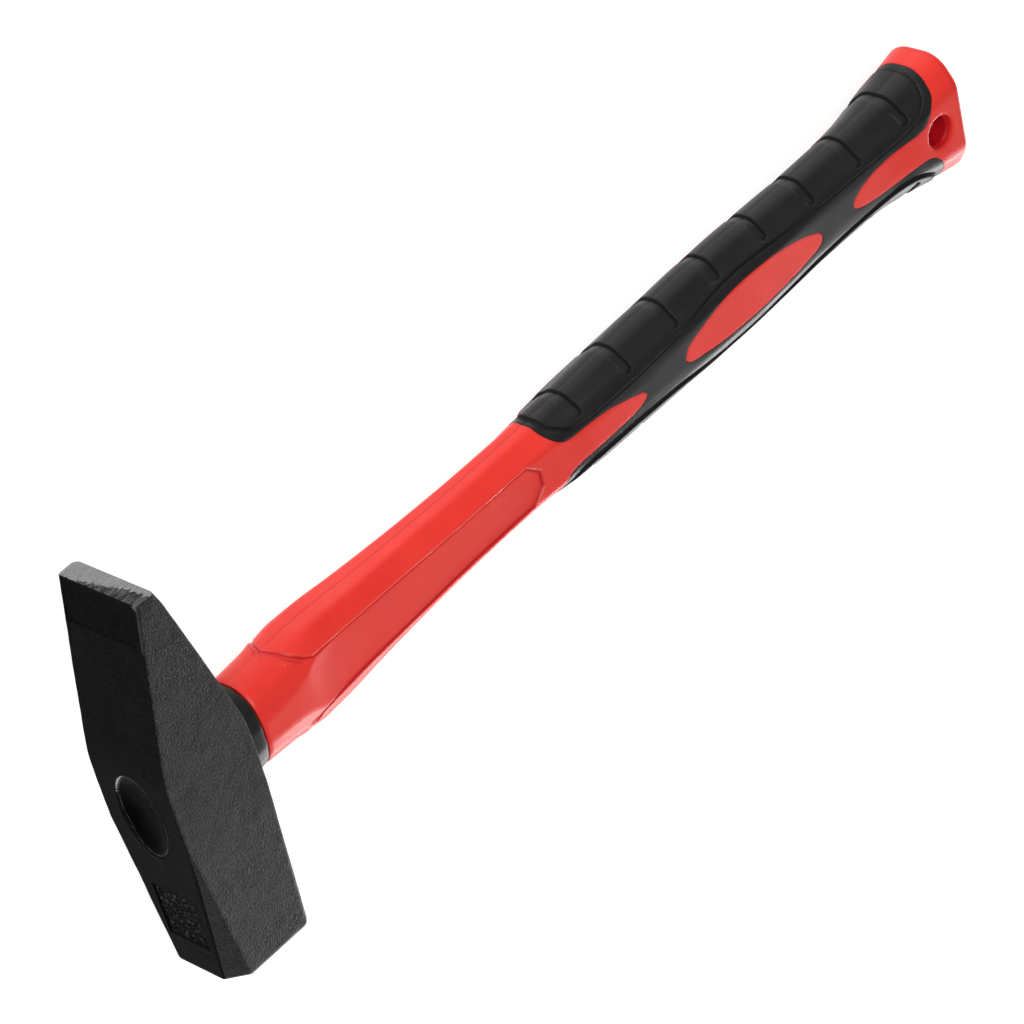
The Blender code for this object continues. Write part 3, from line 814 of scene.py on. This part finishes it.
def edge_depth(y, at_eye, at_face, at_peen, bend_y):
    """Depth of the top or bottom edge: nearly level to the bend, then straight to the peen."""
    level = at_eye + (at_face - at_eye) * max(-y, 0) / -FACE_Y
    slope = (at_peen - at_eye) / (PEEN_Y - bend_y)
    past = y - bend_y
    return level + slope * (past + np.sqrt(past**2 + BEND_SOFTNESS**2 / 4)) / 2


# Cells on each run of half a section, from the middle of the top face to the middle of the bottom.
TOP_CELLS, ROUND_CELLS, CHAMFER_CELLS, CHEEK_CELLS, BOTTOM_CELLS = 42, 4, 6, 44, 22


def head_half(y, shrink=0.0):
    """Half of the head's section at y as (depth, z), with its corners rounded."""
    toward_face = np.clip((CHAMFER_START_Y - y) / (CHAMFER_START_Y - FACE_Y), 0, 1)
    half_width = HALF_WIDTH + (FACE_HALF_WIDTH - HALF_WIDTH) * toward_face - shrink
    above = EDGE_BREAK + (TOP_CHAMFER - EDGE_BREAK) * toward_face
    below = EDGE_BREAK + (BOTTOM_CHAMFER - EDGE_BREAK) * toward_face
    below += PEEN_CORNER * smooth((y - PEEN_Y) / PEEN_CORNER_RUN + 1)
    top = edge_depth(y, EYE_TOP, FACE_TOP, PEEN_TOP, TOP_BEND_Y) + shrink
    bottom = edge_depth(y, EYE_BOTTOM, FACE_BOTTOM, PEEN_BOTTOM, BOTTOM_BEND_Y) - shrink
    corners = np.array([
        (top, 0), (top, half_width - above), (top + above, half_width),
        (bottom - below, half_width), (bottom, half_width - below), (bottom, 0),
    ])
    line = []
    cells = (TOP_CELLS, CHAMFER_CELLS, CHEEK_CELLS, CHAMFER_CELLS, BOTTOM_CELLS)
    for i, count in enumerate(cells):
        run = corners[i + 1] - corners[i]
        unit = run / np.linalg.norm(run)
        trim = min(CORNER_ROUND, 0.3 * np.linalg.norm(run))
        begin = corners[i] + unit * (trim if i else 0)
        end = corners[i + 1] - unit * (trim if i < len(cells) - 1 else 0)
        share = np.linspace(0, 1, count + 1)[:, None]
        line.append(begin + (end - begin) * share)
        if i < len(cells) - 1:
            after = corners[i + 2] - corners[i + 1]
            reach = min(CORNER_ROUND, 0.3 * np.linalg.norm(after))
            leave = corners[i + 1] + after / np.linalg.norm(after) * reach
            t = np.linspace(0, 1, ROUND_CELLS + 1)[1:-1, None]
            line.append((1 - t) ** 2 * end + 2 * t * (1 - t) * corners[i + 1] + t**2 * leave)
    return np.vstack(line)


def head_rows():
    """(y, shrink) of each row along the head, with rounded rows at both ends."""
    rows = []
    for angle in np.linspace(0, pi / 2, 10):
        rows.append((FACE_Y + FACE_ROUND * (1 - np.cos(angle)), FACE_ROUND * (1 - np.sin(angle))))
    y = rows[-1][0] + 0.3
    while y < PEEN_Y - PEEN_ROUND - 0.2:
        rows.append((y, 0.0))
        y += 0.27 if any(start < y < end for start, end in FINE_Y) else 0.6
    for angle in np.linspace(0, pi / 2, 5):
        rows.append((PEEN_Y - PEEN_ROUND * (1 - np.sin(angle)), PEEN_ROUND * (1 - np.cos(angle))))
    return rows


def eye_distance(y, z, grow):
    """Distance outside an oval that is larger than the eye by grow, close to true near it."""
    half_length, half_width = EYE_HALF_LENGTH + grow, EYE_HALF_WIDTH + grow
    u, v = (y - EYE_Y) / half_length, z / half_width
    rho = np.maximum(np.hypot(u, v), 1e-6)
    steep = np.hypot(u / half_length, v / half_width) / rho
    return (rho - 1) / np.maximum(steep, 1e-6)


def eye_angle(y, z):
    """Angle round the eye: 0 toward the peen, a quarter turn toward the upper cheek."""
    return np.arctan2(z / EYE_HALF_WIDTH, (y - EYE_Y) / EYE_HALF_LENGTH)


EYE_ANGLES = np.arange(96) * 2 * pi / 96  # of the points of a ring round the eye


def eye_ring(depth, grow, share=1.0):
    """A ring round the eye's middle, larger than the eye by grow and then scaled by share."""
    y = EYE_Y + (EYE_HALF_LENGTH + grow) * share * np.cos(EYE_ANGLES)
    return ring_at(depth, y, (EYE_HALF_WIDTH + grow) * share * np.sin(EYE_ANGLES))


def eye_gap(angle):
    """How far the resin stands off the eye's wall at an angle round the eye: 0 to 1."""
    turned = (angle + GAP_ANGLE + pi) % (2 * pi) - pi
    return ridge(turned, GAP_SPREAD) ** 0.7


def head_relief(points, on_top, eye, field, patch):
    """Height of the head's details over its plain form, the painted shade in its grooves and hollows,
    and the painted glints on its stipple.
    """
    y, z = points[..., 1], points[..., 2]
    height = 0.10 * noise_at(points, 11.0) + 0.05 * noise_at(points, 3.2, 7.0)
    # The eye's lip, raised and rolled in.
    height += on_top * (0.1 * ridge(eye - 0.7, 0.5) - 0.24 * smooth((0.35 - eye) / 0.35) ** 2)
    # The marking field, with plain stippling in it and a fainter outline outside it.
    lumps = 1.6 * np.abs(noise_at(points, 1.0, 11.0)) ** 0.7 - 0.5
    stipple = 0.28 * lumps + 0.26 * noise_at(points, 0.62, 5.0)
    height += on_top * smooth(field / 0.35) * (smooth((field - 0.2) / 0.4) * stipple - FIELD_DEPTH)
    # Painted glints: lighter colour on the stipple's high points.
    peaks = 0.17 * on_top * smooth((field - 0.3) / 0.3) * smooth((stipple - 0.02) / 0.3)
    height += on_top * 0.07 * ridge(field + 0.35, 0.3)
    beside_field = smooth((FIELD[0][0] + 3.5 - y) / 2) * smooth((z - 0.5) / 2)
    faint = ridge(field + 2.3, 0.28) * beside_field
    height -= on_top * 0.12 * faint
    # The patch ground by the peen.
    ragged = noise_at(points, 1.1, 3.0)
    height -= on_top * PATCH_DEPTH * smooth((patch + 0.15 * ragged) / 0.5)
    # Painted shade: darker colour in the stipple's hollows, along the field's border and in its faint
    # outline.
    pitted = smooth((field - 0.5) / 0.4) * smooth(-stipple / 0.15)
    border = ridge(field - 0.12, 0.2) * (1 - 0.8 * smooth((FIELD[0][0] + 2.5 - y) / 2))
    gutter = on_top * np.maximum(np.maximum(border, 0.8 * faint), 0.7 * pitted)
    return height, np.clip(gutter, 0, 1), peaks


def chipped(depth, z):
    """Positive on the scored band along the land's upper edge, negative on the clean land."""
    across_land = (depth - LAND_MIDDLE) / LAND_HALF
    return 1.35 * smooth((z / HALF_WIDTH + 0.85) / 1.7) - 1.05 - across_land


def head_grid():
    """Points of the head's plain form, and each point's place in half a section."""
    sections = []
    for y, shrink in head_rows():
        depth, z = head_half(y, shrink).T
        depth, z = np.append(depth, depth[-2:0:-1]), np.append(z, -z[-2:0:-1])
        sections.append(np.column_stack([depth, np.full(len(z), y), z]))
    plain = np.array(sections)
    near_face = smooth((FACE_Y + 6 - plain[..., 1]) / 4)
    plain[..., 1] -= FACE_LEAN * (plain[..., 0] - HEAD_MID) * near_face
    columns = plain.shape[1]
    run = np.minimum(np.arange(columns), columns - np.arange(columns))
    return plain, np.broadcast_to(run, plain.shape[:2])


def rubbed_metal(plain, run, on_top, eye):
    """Where metal shows through: worn at the peen's corner and along the ground patch, and a painted
    highlight on one side of the eye's lip.
    """
    y, z = plain[..., 1], plain[..., 2]
    angle = eye_angle(y, z)
    # Painted highlight: a crescent of metal colour on one side of the eye's lip.
    lip_highlight = np.maximum(ridge(angle + 0.65, 0.55), 0.55 * ridge(angle - 0.7, 0.9))
    lip_highlight *= on_top * ridge(eye - 0.16, 0.26)
    corner = on_top * 0.5 * ridge(y - PEEN_Y + 0.8, 1.1) * ridge(z - HALF_WIDTH + 1.2, 1.6)
    near_top = np.abs(run - TOP_CELLS - ROUND_CELLS - CHAMFER_CELLS / 2) < 8
    beside_patch = near_top & (z > 0) & (y > PATCH_Y - 0.8)
    specks = 0.5 * beside_patch * np.clip(noise_at(plain, 0.9, 2.0), 0, 1)
    return np.maximum(np.maximum(lip_highlight, corner), specks)


def head_tags(plain, run, on_top, patch):
    """Which material each cell has."""
    y, z = plain[..., 1], plain[..., 2]
    tags = np.where(run < TOP_CELLS, TOP, CHEEK)
    tags[(run < TOP_CELLS + ROUND_CELLS) & (y < PATCH_Y - 0.3)] = TOP
    on_edge = run < TOP_CELLS + 2 * ROUND_CELLS + CHAMFER_CELLS
    # Painted shade: the edge on the -z side takes the darker top material, so no lighter stripe shows
    # there.
    tags[on_edge & (y > CHAMFER_START_Y) & (z < 0)] = TOP
    tags[(patch > 0) & (on_top > 0)] = PATCH
    tags[-4:] = tags[:6] = GROUND
    return tags


def make_head():
    plain, run = head_grid()
    y, z = plain[..., 1], plain[..., 2]
    on_top = np.where(run <= TOP_CELLS, 1.0, 0.0)
    eye = eye_distance(y, z, EYE_MOUTH)
    eye -= 0.45 * eye_gap(eye_angle(y, z)) * (1 + 0.9 * noise_at(plain, 1.2, 9.0))
    field, patch = inside_distance(y, z, FIELD), inside_distance(y, z, GROUND_PATCH)
    height, gutter, peaks = head_relief(plain, on_top, eye, field, patch)
    ends = smooth((y - FACE_Y - 1.5) / 2) * smooth((PEEN_Y - y) / 1.5)
    normals = outward_normals(plain, plain.mean(axis=1, keepdims=True))
    outer = plain + normals * (height * ends)[..., None]
    bottom_start = TOP_CELLS + 4 * ROUND_CELLS + 2 * CHAMFER_CELLS + CHEEK_CELLS
    off_eye = np.where(on_top > 0, eye, 9.0)
    off_eye = np.where(run >= bottom_start, eye_distance(y, z, 0.4), off_eye)

    head = Shell()
    tags = head_tags(plain, run, on_top, patch).ravel()
    rubbed = rubbed_metal(plain, run, on_top, eye)
    scored = np.where(y > 0, chipped(plain[..., 0], z), -1.0)
    index, edges = head.skin(
        outer, off_eye, tags=tags, rubbed=rubbed, scored=scored, gutter=gutter, peaks=peaks
    )
    bore_eye(head, edges, index)
    first, last = end_rows(index, plain.shape)
    cap_head(head, first, FACE_CROWN)
    cap_head(head, last)
    # Painted shade: the top face's and the ground patch's materials are darker, less glossy copies of
    # the cheek's; only the top's finer grain is its own finish.
    looks = [  # in the order of CHEEK, TOP, PATCH and GROUND
        black_steel("cheek_steel", 0.0135, (0.42, 0.55), 0.2, 0.15),
        black_steel("top_steel_painted_shade", 0.0042, (0.50, 0.65), 0.06, 0.015),
        black_steel("patch_steel_painted_shade", 0.0032, (0.50, 0.65), 0.06, 0.012),
        bare_steel(),
    ]
    return head.build("hammer_head", looks)


def bore_eye(head, edges, index):
    """The eye's wall, from the rolled top mouth to the bottom one."""
    upper = [edge for edge in edges if head.points[index[edge[0]]][0] < HEAD_MID]
    lower = [edge for edge in edges if head.points[index[edge[0]]][0] > HEAD_MID]
    profile = (
        (0.75, 0.2), (1.1, 0.1), (1.8, 0.03), (3.0, 0), (6, 0), (15, 0), (25, 0), (26.6, 0.05),
        (27.6, 0.25),
    )
    rings = [head.add(eye_ring(depth, grow)) for depth, grow in profile]
    head.rings(rings, TOP)
    join_loops(head, upper, index, rings[0])
    join_loops(head, lower, index, rings[-1])


def join_loops(shell, edges, index, ring):
    """Zips a cut's loop of edges to a ring of evenly spaced points by angle round the eye."""

    def angle_of(i):
        return eye_angle(*shell.points[i][1:]) % (2 * pi)

    keys = {key for edge in edges for key in edge}
    loop = sorted((angle_of(index[key]), index[key]) for key in keys)
    other = sorted((angle_of(i), int(i)) for i in ring)
    i = j = 0
    while i < len(loop) or j < len(other):
        a, b = loop[i % len(loop)], other[j % len(other)]
        next_a = loop[(i + 1) % len(loop)][0] + 2 * pi * ((i + 1) // len(loop))
        next_b = other[(j + 1) % len(other)][0] + 2 * pi * ((j + 1) // len(other))
        if j >= len(other) or (i < len(loop) and next_a <= next_b):
            shell.face((a[1], loop[(i + 1) % len(loop)][1], b[1]), TOP)
            i += 1
        else:
            shell.face((a[1], other[(j + 1) % len(other)][1], b[1]), TOP)
            j += 1


def cap_head(head, ring, crown=0.0):
    """Closes a ground end of the head with smaller rings."""
    points = np.array([head.points[i] for i in ring])
    middle = (points.max(axis=0) + points.min(axis=0)) / 2
    rings = [ring]
    for share in (0.98, 0.95, 0.9, 0.84, 0.76, 0.66, 0.54, 0.4, 0.2):
        moved = middle + (points - middle) * share
        scored = -1.0 if crown else chipped(moved[:, 0], moved[:, 2])
        moved[:, 1] -= crown * (1 - share**2)
        rings.append(head.add(moved, scored=scored))
    rings.append(head.add([middle - (0, crown, 0)], scored=-1.0))
    head.rings(rings, GROUND)


def make_resin():
    """The cast plug: a dish with a thin raised rim, closed under the handle's end."""
    shell = Shell()
    gap = 0.10 * eye_gap(EYE_ANGLES)
    rings = [shell.add([(RESIN_RIM + RESIN_DISH, EYE_Y, 0)])]
    # Each ring's size, as a share of the plug's, its depth, and how much painted highlight it gets.
    dish = [
        (share, RESIN_RIM + 0.25 + RESIN_DISH * (1 - (share / 0.93) ** 2.6), 0.0)
        for share in np.linspace(0.08, 0.93, 14)
    ]
    rim = [
        (0.955, RESIN_RIM + 0.1, 0.2), (0.972, RESIN_RIM, 1.0), (0.985, RESIN_RIM + 0.03, 0.6),
        (0.996, RESIN_RIM + 0.15, 0.0), (1.0, RESIN_RIM + 0.45, 0.0),
    ]
    wall = [(0.985, 1.6, 0.0), (0.975, 3.2, 0.0), (0.975, 15.0, 0.0), (0.975, RESIN_BOTTOM, 0.0)]
    for share, depth, crest in dish + rim + wall:
        pull = 1 - gap * smooth((share - 0.3) / 0.6) * (depth < 5)
        points = eye_ring(depth, RESIN_GROW, share * pull)
        points[:, 0] += 0.12 * noise_at(points, 3.0, 4.0) * (1 - share**8)
        rings.append(shell.add(points, crest=crest))
    y, z = BORE_RADIUS * np.cos(EYE_ANGLES), BORE_RADIUS * np.sin(EYE_ANGLES)
    for depth in (RESIN_BOTTOM, CORE_TOP):
        rings.append(shell.add(ring_at(depth, y, z)))
    rings.append(shell.add([(CORE_TOP, 0, 0)]))
    shell.rings(rings)
    return shell.build("eye_plug", [black_resin()])


# -------------------- put together


def place(piece, node, slot):
    """Puts a piece on the part's one body, in place of a CAD node."""
    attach(piece, "root")
    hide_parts(node)


jacket_piece, sleeve_piece = make_handle()
place(jacket_piece, "handle_jacket", "red_polypropylene")
place(sleeve_piece, "grip_sleeve", "black_tpr")
place(make_collar(), "collar", "black_rubber")
place(make_head(), "head", "forged_steel")
place(make_resin(), "eye_resin", "black_resin")
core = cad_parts["handle_core"]
core.data.materials.clear()
core.data.materials.append(fibreglass())

# -------------------- studio

# The photograph's view: the directions right and ahead in the frame, and where it's seen from.
CAMERA_RIGHT = Vector((0.63579721, -0.20934038, 0.74292564))
CAMERA_AHEAD = Vector((0.51472361, -0.60225482, -0.61020385))
CAMERA_PLACE = Vector((-0.404717, 0.607223, 0.638034))

camera = bpy.data.objects.new("camera", bpy.data.cameras.new("camera"))
camera_up = CAMERA_RIGHT.cross(CAMERA_AHEAD)
axes = Matrix([CAMERA_RIGHT, camera_up, -CAMERA_AHEAD]).transposed()
camera.matrix_world = Matrix.Translation(CAMERA_PLACE) @ axes.to_4x4()
camera.data.lens = 139.97  # for the standard sensor, 36 mm wide
camera.data.clip_end = 20
bpy.context.scene.collection.objects.link(camera)
bpy.context.scene.camera = camera

floor_mesh = bpy.data.meshes.new("studio_floor")
floor_mesh.from_pydata([(-5, -5, 0), (5, -5, 0), (5, 5, 0), (-5, 5, 0)], [], [(0, 1, 2, 3)])
floor_mesh.materials.append(pale_floor())
floor = bpy.data.objects.new("studio_floor", floor_mesh)
bpy.context.scene.collection.objects.link(floor)

MIDDLE = (0.14, 0, 0.01)


def soft_light(name, place, size, power):
    """A rectangular light that faces the hammer's middle."""
    lamp = bpy.data.lights.new(name, "AREA")
    lamp.shape = "RECTANGLE"
    lamp.size, lamp.size_y = size
    lamp.energy = power
    made = bpy.data.objects.new(name, lamp)
    made.location = place
    made.rotation_euler = (Vector(MIDDLE) - Vector(place)).to_track_quat("-Z", "Y").to_euler()
    bpy.context.scene.collection.objects.link(made)


soft_light("key", (-0.45, 0.75, 1.15), (1.0, 1.0), 13)
soft_light("low_side", (0.95, -1.0, 0.95), (1.3, 0.8), 0.6)
soft_light("back", (0.9, -1.4, 0.22), (1.8, 0.4), 20)

# The surroundings are bright at the horizon and dim overhead.
world = bpy.data.worlds.new("studio")
world.use_nodes = True
nodes, links = world.node_tree.nodes, world.node_tree.links
height_of_ray = nodes.new("ShaderNodeSeparateXYZ")
links.new(nodes.new("ShaderNodeTexCoord").outputs["Generated"], height_of_ray.inputs[0])
falloff = nodes.new("ShaderNodeMapRange")
for socket, value in (("From Min", 0.08), ("From Max", 0.45), ("To Min", 1.0), ("To Max", 0.25)):
    falloff.inputs[socket].default_value = value
links.new(height_of_ray.outputs["Z"], falloff.inputs["Value"])
links.new(falloff.outputs[0], nodes["Background"].inputs["Strength"])
nodes["Background"].inputs["Color"].default_value = (1, 1, 1, 1)
bpy.context.scene.world = world
bpy.context.scene.view_settings.view_transform = "Standard"
